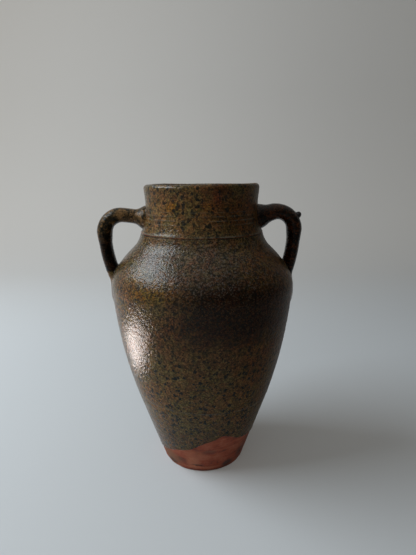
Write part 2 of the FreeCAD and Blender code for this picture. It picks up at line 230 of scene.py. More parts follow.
# Both handles: how far from the jar's axis the arm starts, radius of the bend, how far out the neck pad's
# middle lies, and how the shoulder pad leans
ARM_START = 52.3
BEND = 18
NECK_PAD_OUT = 4
PAD_TILT = math.radians(6)

# Marks along a strap where the arm, the bend and the leg end
ARM_END = 3
BEND_END = 7
LEG_END = 13

# How softly strap, pads and jar flow together, in mm: at the neck pad, at the shoulder pad, and into the
# jar's side at two heights
NECK_FLOW = 6
SHOULDER_FLOW = 3
FLOW_HEIGHTS = (198, 214)
SIDE_FLOW = (4, 0.8)

# Skirt round a handle's ends, in mm: how far it lies under the jar's glaze, how thick it is and how far it
# reaches
SKIRT_SINK = 0.52
SKIRT_BACK = 3
SKIRT_REACH = 12

# Box round a handle in mm, in reach from the axis, breadth and height, and the cells it is cut into
HANDLE_LOW = (45, -34, 150)
HANDLE_HIGH = (112, 34, 296)
HANDLE_CELL = 0.9

# Azimuth steps round the jar, for the outside, the foot and what is hardly seen
AROUND = 640
FOOT_AROUND = 480
HIDDEN_AROUND = 240

# Steps along the outlines in mm: on the coat, the foot's side, the lining, the collar's clay and what is
# hidden
COAT_STEP = 0.8
FOOT_STEP = 0.75
LINING_STEP = 1.5
COLLAR_STEP = 1.6
HIDDEN_STEP = 3

# How far the glaze's skin lies under its full thickness in mm: on average, at least and at most
SKIN_MEAN = 0.18
SKIN_LEAST = 0.01
SKIN_MOST = 0.4

# Lower edge of the outer coat, in mm: the height over which it rounds off, and the roll of glaze above it,
# with how far that stands out, its height above the edge and its half width
EDGE_ROUND = 1.2
EDGE_ROLL = (0.2, 1.6, 1.1)

# Height in mm up to which the coat's rows follow its slanting edge, rows close above that edge in mm, and how
# many rows even out from there
LINE_CLEAR = 100
EDGE_ROWS = (0, 0.06, 0.2, 0.45, 0.8, 1.2, 1.7, 2.3)
EVEN_ROWS = 103

# Share of the coat's thickness in its last rows inside the mouth, and how far its back is sunk in the clay,
# in mm
MOUTH_FADE = (0.9, 0.6, 0.2, -0.3)
COAT_SINK = 0.3

# How far the rim's waves reach down, and how far the collar's clay stays under its coat, in mm
WAVE_DEPTH = 15
COLLAR_SINK = 0.05

# Rays that see the pale background
SEEN_RAYS = ("Is Camera Ray", "Is Glossy Ray", "Is Transmission Ray")

# How bright the background looks: away from the window and on its side
SEEN_WORLD = (0.13, 0.75)

# What these rays see added to the floor: at the front and at the wall, and at the right and at the left
WALL_GLOW = (0.05, 0.22)
SIDE_GLOW = (-0.05, 0.12)
GLOW_COLOUR = (1.0, 0.96, 0.88)

# Way to the brightest part of the sky
SKY_WAY = (-0.45, -0.15, 0.88)

# Way to the brightest side of the background, and where it starts to brighten
BRIGHT_SIDE = (-0.55, 0.25, 0.8)
BRIGHT_FROM = -0.4

# Even light: how squarely a way faces the sky's brightest part where the light starts and where it is full,
# and its colour
SKY_FROM = 0.1
SKY_FULL = 0.95
SKY_COLOUR = (1.0, 0.97, 0.92, 1.0)

# Lamps, each with its size in metres, its colour, its place and what it faces
WINDOW = ((1.1, 0.6), (0.84, 0.93, 1.0), (-1.04, -0.03, 1.12), (0, 0, 0.17))
LOW_BOUNCE = ((0.13, 0.065), (1.0, 0.9, 0.86), (-0.215, -0.02, 0.056), (-0.062, -0.064, 0.15))
BOUNCE_SPREAD = math.radians(95)

# Floor in metres: its front edge, where it starts to curve up, the curve's radius, and the wall's top and
# half width
FLOOR_FRONT = -1.6
FLOOR_BACK = 0.9
FLOOR_CURVE = 0.7
WALL_TOP = 2.6
FLOOR_HALF = 2.4
WALL_SHADE = (0.55, 0.55, 0.55)


def paint(red, green, blue):
    """Colour for a shader from its values on a screen, each 0 to 255."""
    return tuple((value / 255 / 12.92) if value < 10 else ((value / 255 + 0.055) / 1.055) ** 2.4
                 for value in (red, green, blue))


def tone(name, description, *screen):
    """Colour setting."""
    return FloatVectorProperty(name=name, description=description, subtype="COLOR", size=3, min=0, max=1,
                               default=paint(*screen))


def length(name, description, millimetres):
    """Length setting, given here in mm."""
    return FloatProperty(name=name, description=description, unit="LENGTH", precision=5, min=0,
                         default=millimetres * MM)


def share(name, description, value):
    """Setting from 0 to 1."""
    return FloatProperty(name=name, description=description, subtype="FACTOR", min=0, max=1, default=value)


class JarSurface(PropertyGroup):
    """How uneven the jar's skin is."""
    grain: length("Grain", "Height of the glaze's finest bumps", 0.1)
    grain_size: length("Grain size", "Width of the glaze's finest bumps", 2.4)
    swell: length("Swell", "Height of the slow waves under the glaze", 0.07)
    rim_wave: length("Rim wave", "How far the rim dips below its highest point", 1.6)
    line_height: length("Finger lines", "Height of the throwing lines on the belly", 0.07)
    seam_depth: length("Seam", "Depth of the slanting seam low on the belly", 0.16)
    joint_depth: length("Collar joint", "Depth of the groove under the collar", 0.32)
    pit_depth: length("Pits", "Depth of the pits in the bare foot", 0.45)


class JarGlaze(PropertyGroup):
    """Colours of the speckled glaze."""
    olive: tone("Olive", "Olive blotches", 76, 63, 34)
    brown: tone("Brown", "Most of the glaze", 83, 59, 32)
    rust: tone("Rust", "Orange-brown blotches", 88, 57, 32)
    # Also the colour of the dark lines round the jar, which are painted shade.
    speck_and_shade: tone("Speck", "Blue-green specks", 11, 18, 15)
    # Pale lines over ridges: partly thin glaze, partly painted highlight along the ridge.
    thin_glaze_and_highlight: tone("Thin glaze", "Where the glaze runs thin over a ridge", 114, 110, 96)
    # Partly thin glaze, partly painted sheen where light falls on the left handle's lower end.
    bared_and_sheen: tone("Bared end", "Thin, pale glaze at the left handle's lower end", 128, 100, 80)
    soot: tone("Soot", "Darkest grains of the shoulder", 17, 14, 13)
    # Painted glints: pale grey grains that stand in for sparkles of the window's reflection on the shoulder.
    glint: tone("Glint", "Pale grains on the shoulder and belly", 92, 84, 77)
    handle_dark: tone("Handle, dark", "Darkest grains of the handles", 7, 4, 2)
    handle_middle: tone("Handle, middle", "Most of the handles' glaze", 22, 14, 7)
    handle_light: tone("Handle, light", "Palest grains of the handles", 46, 29, 17)
    lining: tone("Lining", "Glaze inside the jar", 53, 42, 27)
    gloss: share("Roughness", "Roughness of the glaze's surface", 0.1)


class JarClay(PropertyGroup):
    """Colours of the bare clay."""
    body: tone("Clay", "Fired clay where it is bare", 149, 63, 32)
    pale: tone("Pale clay", "Smooth, wiped places on the foot", 174, 106, 74)
    ashen: tone("Ashen clay", "Yellow-brown places on the foot", 116, 80, 50)
    stain: tone("Stain", "Dark stains and the inside of pits", 64, 36, 26)
    roughness: share("Roughness", "Roughness of the bare clay", 0.72)


class JarStage(PropertyGroup):
    """Floor, light and camera."""
    floor: tone("Floor", "Floor and the wall that it curves up into", 180, 184, 187)
    window: FloatProperty(name="Window", description="Power of the large soft light", unit="POWER",
                          default=20.5)
    bounce: FloatProperty(name="Low bounce", description="Power of the warm light low at the left",
                          unit="POWER", default=0.09)
    fill: share("Fill", "Strength of the even light at the height of the jar", 0.05)
    sky: share("Sky", "Strength of the even light from above", 0.4)
    camera_back: length("Camera distance", "From the jar's axis to the camera", 429.3)
    camera_height: length("Camera height", "From the floor to the camera", 305)
    camera_right: length("Camera to the right", "From the jar's middle plane to the camera", 6)
    camera_pitch: FloatProperty(name="Camera pitch", description="How far the camera looks down",
                                subtype="ANGLE", default=math.radians(13.47))
    camera_roll: FloatProperty(name="Camera roll", description="How far the camera leans to its left",
                               subtype="ANGLE", default=math.radians(-0.34))
    lens: FloatProperty(name="Lens", description="Focal length", unit="CAMERA", default=27.05)


# Outlines and turned forms

def traced(stations, step):
    """Points about a step apart along an outline's straight and curved stretches."""
    points = [stations[0][:2]]
    for (r0, z0, _), (r1, z1, curve) in zip(stations, stations[1:]):
        chord = math.hypot(r1 - r0, z1 - z0)
        count = max(1, round(chord / step))
        for number in range(1, count + 1):
            part = number / count
            bulge = 0
            if curve:
                along = (part - 0.5) * chord
                bulge = math.sqrt(curve ** 2 - along ** 2) - math.sqrt(curve ** 2 - chord ** 2 / 4)
                bulge = math.copysign(bulge, curve) / chord
            radius = r0 + (r1 - r0) * part + bulge * (z1 - z0)
            points.append((radius, z0 + (z1 - z0) * part - bulge * (r1 - r0)))
    return np.array(points)


def grown(stations, amount):
    """Outline with its radii grown by an amount."""
    return tuple((radius + amount, height, curve) for radius, height, curve in stations)


CLAY_LINE = traced(OUTSIDE, 1)


def clay_radius(heights):
    """Radius of the bare clay's outside at some heights, in mm."""
    return np.interp(heights, CLAY_LINE[:, 1], CLAY_LINE[:, 0])


def circle(count):
    """Azimuths all the way round, in radians."""
    return np.arange(count) * 2 * math.pi / count


def placed(radii, heights, azimuths):
    """Points from radius, height and azimuth, which is 0 at the front and grows to the right."""
    radii, heights, azimuths = np.broadcast_arrays(radii, heights, azimuths)
    return np.stack([radii * np.sin(azimuths), -radii * np.cos(azimuths), heights], axis=-1)


def lumps(points, size, seed):
    """Smooth ups and downs, about -1 to 1, of a size in mm, at each point."""
    spots = (points.reshape(-1, 3) / size + seed * 7.3).tolist()
    return np.reshape([noise.noise(spot) for spot in spots], points.shape[:-1]) * 1.4


def skin_depth(points, surface):
    """How far the glaze's skin lies from its full thickness, in mm, never above it."""
    depth = surface.grain / MM * lumps(points, surface.grain_size / MM, 1)
    depth += surface.swell / MM * (lumps(points, 8, 2) + lumps(points, 36, 3)) * 0.5
    return np.clip(depth - SKIN_MEAN, -SKIN_MOST, -SKIN_LEAST)


def ridge(away, half):
    """Soft ridge of height 1 at points some way from its middle, with its half width."""
    return np.exp(-(away / half) ** 2)


def ring_solid(points, wraps):
    """Vertices and faces of rings of points, each joined to the next, and last to first if wrapped."""
    count, around = points.shape[:2]
    numbers = np.arange(count * around).reshape(count, around)
    if wraps:
        numbers = np.vstack([numbers, numbers[:1]])
    low, high = numbers[:-1], numbers[1:]
    faces = np.stack([low, np.roll(low, -1, 1), np.roll(high, -1, 1), high], axis=-1)
    return points.reshape(-1, 3), faces.reshape(-1, 4)


def make_piece(name, vertices, faces, material, slot, nodes):
    """Mesh piece from points in mm, which rides on the jar and stands for some of its solids."""
    mesh = bpy.data.meshes.new(name)
    mesh.from_pydata((vertices * MM).tolist(), [], faces.tolist())
    form = bmesh.new()
    form.from_mesh(mesh)
    bmesh.ops.remove_doubles(form, verts=form.verts, dist=0.005 * MM)
    bmesh.ops.recalc_face_normals(form, faces=form.faces)
    form.to_mesh(mesh)
    form.free()
    mesh.shade_smooth()
    mesh.materials.append(material)
    piece = bpy.data.objects.new(name, mesh)
    bpy.context.scene.collection.objects.link(piece)
    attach(piece, "root")
    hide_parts(*nodes)


def rim_drop(azimuths, surface):
    """How far the wavy rim lies below the jar's top, in mm."""
    wave = 0.5 - 0.3 * np.sin(azimuths + 0.9) - 0.2 * np.sin(2 * azimuths - 0.4)
    wave -= 0.1 * np.sin(5 * azimuths)
    return np.clip(wave, 0, 1) * surface.rim_wave / MM


def rim_fade(heights):
    """Share of the rim's waves at some heights: all of it at the top, none well below."""
    part = np.clip((heights - TOP + WAVE_DEPTH) / WAVE_DEPTH, 0, 1)
    return part * part * (3 - 2 * part)


def knocked(points, marks):
    """Depth in mm of dents in the outside, round some azimuths and heights."""
    depth = np.zeros(points.shape[:-1])
    for azimuth, height, size, deep in marks:
        centre = placed(clay_radius(height), height, math.radians(azimuth))
        away = np.linalg.norm(points - centre, axis=-1)
        depth += deep * np.exp(-(away / size) ** 2 * 2)
    return depth


# Outer glaze

def glaze_line(azimuths):
    """Height of the outer glaze's lower edge, in mm."""
    at, heights = zip(*GLAZE_LINE)
    line = np.interp(np.degrees(azimuths), at, heights, period=360)
    line = np.mean([np.roll(line, shift) for shift in range(-5, 6)], axis=0)
    return line + 0.4 * lumps(placed(45, line, azimuths), 4, 4)


def marks_on_coat(azimuths, heights, radii, surface):
    """Lines and grooves that show through the glaze, in mm, plus standing out."""
    points = placed(radii, heights, azimuths)
    patchy = np.clip(0.6 + 0.8 * lumps(points, 40, 5), 0.1, 1)
    lines = sum(stand * ridge(heights - height, NECK_LINE_HALF) for height, stand in NECK_LINES)
    out = lines * patchy
    rows = np.stack([np.zeros_like(heights), np.zeros_like(heights), heights], axis=-1)
    out += surface.line_height / MM * lumps(rows[:, :1], 5, 6) * (heights < JOINT - 8)
    tilted = heights - SEAM + points[..., 0] * SEAM_LEAN
    out -= surface.seam_depth / MM * ridge(tilted, 1.6)
    out += 0.6 * surface.seam_depth / MM * ridge(tilted - 3, 2)
    front = np.clip(0.75 + 0.5 * np.cos(azimuths - 0.1), 0.3, 1)
    out -= surface.joint_depth / MM * front * ridge(heights - JOINT - 0.2, 0.55)
    out += 0.3 * front * ridge(heights - JOINT - 1.7, 0.9)
    return out


def coat_solid(surface):
    """The glaze on the outside: from its slanting lower edge, up over the lip and a little way in."""
    azimuths = circle(AROUND)[None, :]
    line = glaze_line(azimuths[0])[None, :]
    near = np.array(EDGE_ROWS)[:, None]
    rise = np.linspace(0, 1, EVEN_ROWS + 1)[1:, None]
    heights = np.vstack([line + near, line + near[-1] + (LINE_CLEAR - line - near[-1]) * rise])
    over = traced(grown(OUTSIDE, GLAZE) + GLAZED_LIP, COAT_STEP)
    over = over[(over[:, 1] > LINE_CLEAR) & ((over[:, 1] > TOP - WRAP) | (over[:, 0] > CREST))]
    radii = np.vstack([clay_radius(heights) + GLAZE, np.repeat(over[:, :1], AROUND, axis=1)])
    heights = np.vstack([heights, np.repeat(over[:, 1:], AROUND, axis=1)])
    above = heights - line
    run = np.gradient(radii, axis=0)
    climb = np.gradient(heights, axis=0)
    size = np.hypot(run, climb)
    out, up = climb / size, -run / size
    edge = np.sqrt(np.clip(above / EDGE_ROUND, 0, 1))
    last = np.ones_like(heights)
    last[-len(MOUTH_FADE):] = np.array(MOUTH_FADE)[:, None]
    points = placed(radii, heights, azimuths)
    shift = skin_depth(points, surface) * np.clip(above / 1.5, 0, 1)
    stand, level, half = EDGE_ROLL
    shift += stand * ridge(above - level, half)
    shift += marks_on_coat(azimuths, heights, radii, surface)
    shift -= knocked(points, KNOCKS)
    shift = np.clip(shift, -0.5, np.where(radii > BELLY - 1.5, 0, 0.5))
    shift = (GLAZE + shift) * edge * last - GLAZE
    shift[0] = -GLAZE - COAT_SINK
    drop = rim_drop(azimuths, surface) * rim_fade(heights)
    shift = np.where((up > 0.2) & (heights > TOP - 5), np.minimum(shift, 0), shift)
    front = placed(radii + out * shift, heights + up * shift - drop, azimuths)
    sunk = GLAZE + COAT_SINK
    back = placed(radii - out * sunk, heights - up * sunk - drop, azimuths)[1:-1:4][::-1]
    return ring_solid(np.vstack([front, back]), True)


class JAR_OT_outer_coat(Operator):
    """Make the speckled glaze on the outside."""
    bl_idname = "jar.outer_coat"
    bl_label = "Outer coat"

    def execute(self, context):
        scene = context.scene
        material = speckled_glaze("speckled_glaze", scene.jar_glaze, "jar")
        make_piece("outer_coat", *coat_solid(scene.jar_surface), material, "outer_glaze", ["outer_glaze"])
        return {"FINISHED"}


# Collar, foot and lining

class JAR_OT_collar(Operator):
    """Make the collar's clay, which follows the wavy rim under the glaze."""
    bl_idname = "jar.collar"
    bl_label = "Collar clay"

    def execute(self, context):
        surface = context.scene.jar_surface
        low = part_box("neck_collar")[0].z / MM
        outer = traced(OUTSIDE + LIP + MOUTH, COLLAR_STEP)
        outer = outer[outer[:, 1] > low]
        under = np.array([[radius, low] for radius in COLLAR_UNDER])
        line = np.vstack([outer, under])
        azimuths = circle(HIDDEN_AROUND)
        drop = rim_drop(azimuths, surface)[None, :] * rim_fade(line[:, 1:])
        points = placed(line[:, :1], line[:, 1:] - drop - COLLAR_SINK, azimuths)
        material = fired_clay("collar_clay", context.scene.jar_clay)
        make_piece("collar_clay", *ring_solid(points, True), material, "bare_clay", ["neck_collar"])
        return {"FINISHED"}


def foot_solid(surface):
    """The base with its bare, turned and pitted outside."""
    azimuths = circle(FOOT_AROUND)[None, :]
    under = traced(((0, 0, 0), (FOOT_RADIUS, 0, 0)), HIDDEN_STEP)
    side = traced(OUTSIDE[:3], FOOT_STEP)[1:]
    side = side[side[:, 1] < BASE_TOP]
    inside = traced(HOLLOW[:4], HIDDEN_STEP)[::-1]
    inside = inside[inside[:, 1] < BASE_TOP]
    seam = SEAM - SEAM_OUTSIDE * np.sin(azimuths) * SEAM_LEAN
    inner_seam = SEAM - SEAM_INSIDE * np.sin(azimuths) * SEAM_LEAN
    rows = ((under[:, :1], under[:, 1:]), (side[:, :1], side[:, 1:]), (clay_radius(seam), seam),
            (SEAM_INSIDE, inner_seam), (inside[:, :1], inside[:, 1:]))
    points = np.vstack([placed(radii, heights, azimuths) for radii, heights in rows])
    skin = slice(len(under), len(under) + len(side))
    bare = points[skin]
    heights = bare[..., 2]
    turning = np.stack([bare[..., 0] / 60, bare[..., 1] / 60, heights / 1.7], axis=-1)
    depth = 0.1 * lumps(turning, 1, 8) + 0.12 * lumps(bare, 9, 9) + 0.07 * lumps(bare, 1.6, 10) - 0.22
    pits = np.clip(lumps(bare, 2.6, 11) - 0.52, 0, 1) * 2.6
    depth -= surface.pit_depth / MM * pits + knocked(bare, FOOT_DENTS)
    worn = np.clip(1 - heights / 4, 0, 1) * np.clip(0.4 + lumps(bare, 7, 12), 0, 1)
    depth = (depth - 0.5 * worn) * np.clip(heights / 1.2, 0.15, 1)
    radial = np.concatenate([bare[..., :2] / np.linalg.norm(bare[..., :2], axis=-1, keepdims=True),
                             np.zeros_like(bare[..., :1])], axis=-1)
    points[skin] = bare + radial * depth[..., None]
    return ring_solid(points, False)


class JAR_OT_foot(Operator):
    """Make the base, whose bare foot shows below the glaze."""
    bl_idname = "jar.foot"
    bl_label = "Foot"

    def execute(self, context):
        material = fired_clay("foot_clay", context.scene.jar_clay)
        make_piece("foot", *foot_solid(context.scene.jar_surface), material, "bare_clay", ["base_section"])
        return {"FINISHED"}


class JAR_OT_lining(Operator):
    """Make the glaze inside, over the ridges that throwing left."""
    bl_idname = "jar.lining"
    bl_label = "Lining"

    def execute(self, context):
        surface = context.scene.jar_surface
        azimuths = circle(AROUND // 2)
        line = traced(HOLLOW, LINING_STEP)
        run, climb = np.gradient(line[:, 0]), np.gradient(line[:, 1])
        size = np.hypot(run, climb)
        inward, up = (-climb / size)[:, None], (run / size)[:, None]
        radii, heights = line[:, :1], line[:, 1:]
        points = placed(radii, heights, azimuths)
        ridges = RIDGE * np.sin(heights * 2 * math.pi / RIDGE_PITCH - azimuths)
        ridges *= np.clip((heights - 20) / 20, 0, 1)
        fade = np.clip((TOP - 3 - heights) / 3, 0.3, 1)
        thickness = (GLAZE + ridges + skin_depth(points, surface) + 0.15) * fade
        thickness = np.where(radii < 1, GLAZE, thickness)
        drop = rim_drop(azimuths, surface) * rim_fade(heights)
        shown = placed(np.maximum(radii + inward * thickness, 0), heights + up * thickness - drop, azimuths)
        hidden = placed(radii, heights - drop, azimuths)[::3]
        shown[0] = shown[0].mean(axis=0)
        vertices, faces = ring_solid(np.vstack([shown, hidden[::-1]]), False)
        material = lining_glaze("lining_glaze", context.scene.jar_glaze)
        make_piece("lining", vertices, faces, material, "inner_glaze", ["inner_glaze"])
        return {"FINISHED"}


# Handles

def soft_min(one, other, reach):
    """Smaller of two distances, rounded off where they are within a reach of each other."""
    part = np.clip(0.5 + 0.5 * (other - one) / reach, 0, 1)
    return other + (one - other) * part - reach * part * (1 - part)


def oval_distance(offsets, radii):
    """About how far points lie from an oval form, from their offsets to its middle, negative inside."""
    scaled = [offset / radius for offset, radius in zip(offsets, radii)]
    level = np.sqrt(sum(value ** 2 for value in scaled)) + 1e-6
    slope = np.sqrt(sum((value / radius) ** 2 for value, radius in zip(scaled, radii))) / level + 1e-6
    return (level - 1) / slope


def pad_distance(size, centre, tilt, reach, across, height):
    """Distance from the clay worked round one end of a handle."""
    out = (reach - centre[0]) * math.cos(tilt) + (height - centre[1]) * math.sin(tilt)
    up = (height - centre[1]) * math.cos(tilt) - (reach - centre[0]) * math.sin(tilt)
    tall, deep, wide = (value / 2 + GLAZE for value in size)
    return oval_distance((out, across, up), (deep, wide, tall))


class Handle:
    """A glazed handle as distances, from its reach from the axis, across and up, all in mm."""

    def __init__(self, root, rise, reach, leg_in, leg_down, widths, thicknesses,
                 neck_pad, shoulder_pad, sink):
        self.rise = math.radians(rise)
        self.root = root
        self.centre = reach - BEND
        self.arm = (self.centre - BEND * math.sin(self.rise) - ARM_START) / math.cos(self.rise)
        self.bend_height = root + self.arm * math.sin(self.rise) - BEND * math.cos(self.rise)
        self.leg = (leg_in ** 2 + leg_down ** 2) / (2 * leg_in)
        self.leg_turn = 2 * math.atan(leg_in / leg_down)
        self.widths = widths
        self.thicknesses = thicknesses
        self.neck_pad = neck_pad
        self.shoulder_pad = shoulder_pad
        self.sink = sink

    def strap(self, reach, across, height):
        """Distance from the strap: a straight arm, a bend over to straight down, and a leg that curves in."""
        run = (reach - ARM_START) * math.cos(self.rise) + (height - self.root) * math.sin(self.rise)
        part = np.clip(run / self.arm, 0, 1)
        arm_reach = ARM_START + part * self.arm * math.cos(self.rise)
        arm_height = self.root + part * self.arm * math.sin(self.rise)
        best = np.hypot(reach - arm_reach, height - arm_height)
        along = part * ARM_END
        leg_centre = self.centre + BEND - self.leg
        turns = ((self.centre, BEND, 0, math.pi / 2 + self.rise, BEND_END, ARM_END),
                 (leg_centre, self.leg, -self.leg_turn, 0, LEG_END, BEND_END))
        for centre, radius, low, high, at_low, at_high in turns:
            angle = np.clip(np.arctan2(height - self.bend_height, reach - centre), low, high)
            beside = reach - centre - radius * np.cos(angle)
            near = np.hypot(beside, height - self.bend_height - radius * np.sin(angle))
            here = at_low + (at_high - at_low) * (angle - low) / (high - low)
            along = np.where(near < best, here, along)
            best = np.minimum(near, best)
        places = (0, ARM_END, ARM_END + 1, BEND_END, BEND_END + 1, LEG_END)
        width = np.interp(along, places, np.repeat(self.widths, 2)) / 2 + GLAZE
        thickness = np.interp(along, places, np.repeat(self.thicknesses, 2)) / 2 + GLAZE
        return oval_distance((best, across), (thickness, width))

    def distance(self, points):
        """Distance from the strap with its pads."""
        reach, across, height = points.T
        root = (ARM_START + NECK_PAD_OUT * math.cos(self.rise),
                self.root + NECK_PAD_OUT * math.sin(self.rise))
        neck = pad_distance(self.neck_pad, root, self.rise, reach, across, height)
        side = (BELLY - self.sink, WIDEST)
        shoulder = pad_distance(self.shoulder_pad, side, PAD_TILT, reach, across, height)
        form = soft_min(self.strap(reach, across, height), neck, NECK_FLOW)
        return soft_min(form, shoulder, SHOULDER_FLOW)

    def solid(self, points):
        """Distance from the whole piece: the handle, flowing into a skirt that ends under the jar's glaze."""
        reach, across, height = points.T
        form = self.distance(points)
        steps = np.diff(CLAY_LINE, axis=0)
        middles = (CLAY_LINE[1:, 1] + CLAY_LINE[:-1, 1]) / 2
        lean = np.interp(height, middles, steps[:, 1] / np.hypot(steps[:, 0], steps[:, 1]))
        wall = (np.hypot(reach, across) - clay_radius(height) - GLAZE) * lean
        flow = np.interp(height, FLOW_HEIGHTS, SIDE_FLOW)
        joined = soft_min(form, wall + SKIRT_SINK, flow)
        return np.maximum(np.maximum(joined, -(wall + SKIRT_BACK)), form - SKIRT_REACH)


HANDLES = {side: Handle(**sizes) for side, sizes in HANDLE_SIZES.items()}


def skinned(distance, low, high, cell):
    """Points and faces of the surface where a distance is zero, in a box cut into cells."""
    ticks = [np.arange(start, end + cell, cell) for start, end in zip(low, high)]
    grid = np.stack(np.meshgrid(*ticks, indexing="ij"), axis=-1)
    values = distance(grid.reshape(-1, 3)).reshape(grid.shape[:3])
    inside = values < 0
    cells = tuple(count - 1 for count in values.shape)
    total = np.zeros(cells + (3,))
    count = np.zeros(cells)
    window = {corner: tuple(slice(first, first + number) for first, number in zip(corner, cells))
              for corner in product((0, 1), repeat=3)}
    for corner in window:
        for axis in range(3):
            if corner[axis]:
                continue
            other = corner[:axis] + (1,) + corner[axis + 1:]
            one, two = window[corner], window[other]
            crossed = inside[one] != inside[two]
            part = values[one] / np.where(crossed, values[one] - values[two], 1)
            crossing = grid[one] + part[..., None] * (grid[two] - grid[one])
            total += np.where(crossed[..., None], crossing, 0)
            count += crossed
    used = count > 0
    numbers = np.full(cells, -1)
    numbers[used] = np.arange(used.sum())
    points = total[used] / count[used][:, None]
    faces = []
    for axis in range(3):
        one, two = (axis + 1) % 3, (axis + 2) % 3
        change = np.diff(inside.astype(int), axis=axis)
        spots = np.argwhere(change)
        inner = (spots[:, one] > 0) & (spots[:, two] > 0)
        inner &= (spots[:, one] < cells[one]) & (spots[:, two] < cells[two])
        spots = spots[inner]
        step_one, step_two = np.eye(3, dtype=int)[one], np.eye(3, dtype=int)[two]
        corners = [spots, spots - step_one, spots - step_one - step_two, spots - step_two]
        quads = np.stack([numbers[tuple(corner.T)] for corner in corners], axis=1)
        leaving = change[tuple(spots.T)] < 0
        faces.append(np.where(leaving[:, None], quads, quads[:, ::-1]))
    return points, np.vstack(faces)


def slopes(distance, points):
    """Slope of a distance at some points."""
    step = 0.05
    return np.stack([(distance(points + step * way) - distance(points - step * way)) / (2 * step)
                     for way in np.eye(3)], axis=-1)


def handle_solid(side, surface):
    """Glazed skin of one handle, with the grain of the jar's own coat."""
    handle = HANDLES[side]
    sign = -1 if side == "left" else 1
    points, faces = skinned(handle.solid, HANDLE_LOW, HANDLE_HIGH, HANDLE_CELL)
    for _ in range(3):
        slope = slopes(handle.solid, points)
        points -= slope * (handle.solid(points) / np.sum(slope ** 2, axis=-1))[:, None]
    slope = slopes(handle.solid, points)
    slope /= np.linalg.norm(slope, axis=-1, keepdims=True)
    turned = points * (sign, 1, 1)
    points += slope * skin_depth(turned, surface)[:, None]
    points *= (sign, 1, 1)
    return points, faces if sign > 0 else faces[:, ::-1]


class JAR_OT_handle_coats(Operator):
    """Make the glaze on both handles."""
    bl_idname = "jar.handle_coats"
    bl_label = "Handle coats"

    def execute(self, context):
        scene = context.scene
        for side in HANDLES:
            material = speckled_glaze(f"{side}_handle_glaze", scene.jar_glaze, side)
            solid = handle_solid(side, scene.jar_surface)
            make_piece(f"{side}_handle_coat", *solid, material, "handle_glaze", [f"{side}_handle_glaze"])
        return {"FINISHED"}


class JAR_OT_bead(Operator):
    """Make the drop of glaze that froze on the right handle."""
    bl_idname = "jar.bead"
    bl_label = "Bead of glaze"

    def execute(self, context):
        low, high = (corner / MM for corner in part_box("glaze_bead"))
        size = (high.y - low.y) / 2
        centre = np.array((high.x - size, 0, high.z - size))
        form = bmesh.new()
        bmesh.ops.create_icosphere(form, subdivisions=5, radius=1)
        mesh = bpy.data.meshes.new("bead_form")
        form.to_mesh(mesh)
        form.free()
        ways = np.array([vertex.co for vertex in mesh.vertices])
        faces = np.array([polygon.vertices for polygon in mesh.polygons])
        bpy.data.meshes.remove(mesh)
        uneven = 0.1 * lumps(ways * 3, 2.2, 13) + 0.04 * lumps(ways * 3, 0.9, 14)
        radii = size * np.clip(0.96 + uneven, 0.8, 0.995)
        drop = ways * radii[:, None]
        drop[:, 2] *= np.where(drop[:, 2] < 0, 1.5, 1)
        make_piece("bead", centre + drop, faces, bead_glaze("bead_glaze"), "glaze_bead", ["glaze_bead"])
        return {"FINISHED"}


# Materials

class Wiring:
    """Nodes of a material or of the world, laid one on another."""

    def __init__(self, tree):
        self.nodes = tree.nodes
        self.links = tree.links

    def add(self, kind, inputs=None, **settings):
        """Node with its settings and inputs, each a value or another node's output."""
        node = self.nodes.new("ShaderNode" + kind)
        for name, value in settings.items():
            setattr(node, name, value)
        for socket, value in (inputs or {}).items():
            self.feed(node.inputs[socket], value)
        return node

    def feed(self, socket, value):
        """Set or link a socket."""
        if isinstance(value, bpy.types.NodeSocket):
            self.links.new(value, socket)
        else:
            socket.default_value = value

    def sum(self, *terms):
        """Sum of values, each with its weight."""
        total = 0.0
        for value, weight in terms:
            inputs = {0: value, 1: weight, 2: total}
            total = self.add("Math", inputs, operation="MULTIPLY_ADD").outputs[0]
        return total

    def reckon(self, one, other, operation):
        """Result of an operation on two values."""
        return self.add("Math", {0: one, 1: other}, operation=operation).outputs[0]

    def times(self, one, other):
        """Product of two values."""
        return self.reckon(one, other, "MULTIPLY")

    def ease(self, value, low, high, start=0.0, end=1.0):
        """Smooth step from a start to an end as a value goes from low to high."""
        inputs = {"Value": value, "From Min": low, "From Max": high, "To Min": start, "To Max": end}
        return self.add("MapRange", inputs, interpolation_type="SMOOTHSTEP").outputs[0]

    def seen(self):
        """1 where the camera looks, straight or in a reflection, and 0 for light that falls on things."""
        rays = self.add("LightPath").outputs
        return self.sum(*((rays[kind], 1.0) for kind in SEEN_RAYS))


